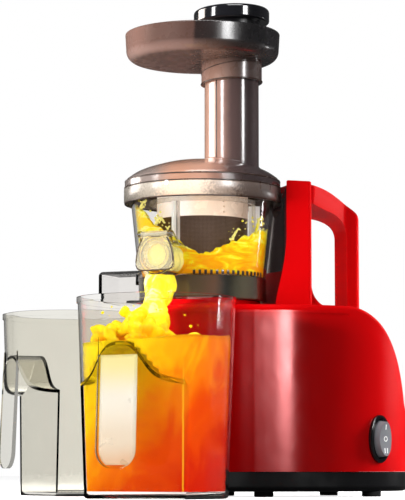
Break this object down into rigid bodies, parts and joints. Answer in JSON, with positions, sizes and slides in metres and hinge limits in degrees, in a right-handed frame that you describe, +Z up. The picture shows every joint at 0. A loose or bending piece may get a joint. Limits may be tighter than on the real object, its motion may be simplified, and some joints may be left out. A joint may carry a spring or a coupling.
{
  "type": "cold press juicer",
  "caption": "Vertical cold press juicer: red drive base with loop handle, clear juicing bowl, smoke lid, feed tube and hopper, tamper, and two jugs.",
  "frame": {"origin": "where the vertical drive axis of the juicing bowl meets the table", "axes": "+Z up, +Y towards the motor and the loop handle, -Y the front, +X the side with the switch and the juice jug"},
  "size_m": [0.3347, 0.341, 0.424],
  "materials": {
    "red_gloss": "high gloss red ABS",
    "smoke_dark": "dark tinted gloss plastic",
    "black_plastic": "satin black ABS",
    "black_gloss": "gloss black",
    "rubber_black": "moulded black rubber",
    "steel": "machined steel",
    "aluminium": "cast aluminium",
    "lamination_steel": "stacked laminations",
    "copper_winding": "varnished copper wire",
    "grey_plastic": "moulded grey plastic",
    "bronze": "sintered bronze",
    "white_nylon": "natural nylon",
    "grey_rocker": "satin grey",
    "clear_plastic": "clear moulded plastic",
    "dark_ring": "dark gloss",
    "white_silicone": "food grade silicone",
    "ultem_bronze": "bronze tinted heat resistant plastic",
    "mesh_steel": "perforated steel screen",
    "brush_clear": "tinted moulded plastic",
    "auger_grey": "bronze grey auger",
    "smoke_brown": "smoke brown tinted plastic",
    "jug_clear": "clear moulded plastic",
    "jug_smoke": "smoke tinted plastic"
  },
  "bodies": {
    "base": {"lower_housing": "red_gloss", "upper_housing": "red_gloss", "tower_front_panel": "smoke_dark", "base_plate": "black_plastic", "rubber_feet": "rubber_black", "base_screws": "steel", "cord_gland": "rubber_black", "switch_bezel": "black_gloss", "switch_body": "black_plastic", "motor_lower_bracket": "aluminium", "motor_upper_bracket": "aluminium", "stator_core": "lamination_steel", "stator_windings": "copper_winding", "motor_bearings": "steel", "motor_screws": "steel", "gearbox_case": "grey_plastic", "gearbox_cover": "grey_plastic", "gearbox_screws": "steel", "output_bushes": "bronze", "intermediate_shaft": "steel", "shaft_seal": "rubber_black", "run_capacitor": "grey_plastic", "capacitor_clamp": "black_plastic"},
    "rotor": {"motor_shaft": "steel", "rotor_core": "lamination_steel", "cooling_fan": "black_plastic", "motor_pinion": "steel"},
    "reduction_gear": {"intermediate_gear": "white_nylon"},
    "drive": {"output_gear": "white_nylon", "drive_shaft": "steel"},
    "rocker": {"switch_rocker": "grey_rocker"},
    "bowl": {"juicing_bowl": "clear_plastic", "bowl_base_ring": "dark_ring", "bowl_bottom_seal": "white_silicone", "idler_pin": "steel", "strainer_frame": "ultem_bronze", "strainer_mesh": "mesh_steel"},
    "idler": {"brush_idler_gear": "white_nylon"},
    "brush": {"brush_frame": "brush_clear", "wiper_blades": "white_silicone"},
    "auger": {"auger": "auger_grey", "auger_top_pin": "steel"},
    "spout_cap": {"juice_cap": "clear_plastic", "cap_hinge_pin": "steel", "cap_seal": "white_silicone"},
    "lid": {"lid": "smoke_brown", "lid_bush": "white_nylon", "lid_seal": "white_silicone"},
    "hopper": {"hopper_tray": "smoke_brown"},
    "tamper": {"tamper_stem": "black_plastic", "tamper_cap": "black_gloss"},
    "juice_jug": {"juice_jug": "jug_clear"},
    "pulp_jug": {"pulp_jug": "jug_smoke"}
  },
  "joints": [
    {"name": "rotor_spin", "type": "hinge", "parent": "base", "child": "rotor", "pos_m": [0, 0.094, 0], "axis": [0, 0, 1], "continuous": true},
    {"name": "reduction_gear_spin", "type": "hinge", "parent": "base", "child": "reduction_gear", "pos_m": [0, 0.057, 0], "axis": [0, 0, 1], "continuous": true},
    {"name": "drive_spin", "type": "hinge", "parent": "base", "child": "drive", "pos_m": [0, 0, 0], "axis": [0, 0, 1], "continuous": true},
    {"name": "switch_rock", "type": "hinge", "parent": "base", "child": "rocker", "pos_m": [0.05346, 0.13787, 0.049], "axis": [-0.4099, 0.9121, 0], "range_deg": [-10, 10]},
    {"name": "bowl_lift", "type": "slide", "parent": "base", "child": "bowl", "axis": [0, 0, 1], "range_m": [0, 0.06]},
    {"name": "idler_spin", "type": "hinge", "parent": "bowl", "child": "idler", "pos_m": [0, 0.033, 0], "axis": [0, 0, 1], "continuous": true},
    {"name": "brush_spin", "type": "hinge", "parent": "bowl", "child": "brush", "pos_m": [0, 0, 0], "axis": [0, 0, 1], "continuous": true},
    {"name": "auger_spin", "type": "hinge", "parent": "bowl", "child": "auger", "pos_m": [0, 0, 0], "axis": [0, 0, 1], "continuous": true},
    {"name": "spout_cap_hinge", "type": "hinge", "parent": "bowl", "child": "spout_cap", "pos_m": [0.06182, -0.06402, 0.2174], "axis": [-0.7193, -0.6947, 0], "range_deg": [0, 95]},
    {"name": "lid_lift", "type": "slide", "parent": "bowl", "child": "lid", "axis": [0, 0, 1], "range_m": [0, 0.035]},
    {"name": "hopper_lift", "type": "slide", "parent": "lid", "child": "hopper", "axis": [0, 0, 1], "range_m": [0, 0.04]},
    {"name": "tamper_slide", "type": "slide", "parent": "hopper", "child": "tamper", "axis": [0, 0, 1], "range_m": [0, 0.12]},
    {"name": "juice_jug_slide", "type": "slide", "parent": "base", "child": "juice_jug", "axis": [0.6559, -0.7549, 0], "range_m": [0, 0.15]},
    {"name": "pulp_jug_slide", "type": "slide", "parent": "base", "child": "pulp_jug", "axis": [0.0698, -0.9976, 0], "range_m": [0, 0.15]}
  ],
  "couplings": [
    {"joint": "reduction_gear_spin", "follows": "rotor_spin", "ratio": -0.23333},
    {"joint": "drive_spin", "follows": "rotor_spin", "ratio": 0.052688},
    {"joint": "auger_spin", "follows": "rotor_spin", "ratio": 0.052688},
    {"joint": "idler_spin", "follows": "rotor_spin", "ratio": -0.1129},
    {"joint": "brush_spin", "follows": "rotor_spin", "ratio": -0.027252}
  ]
}
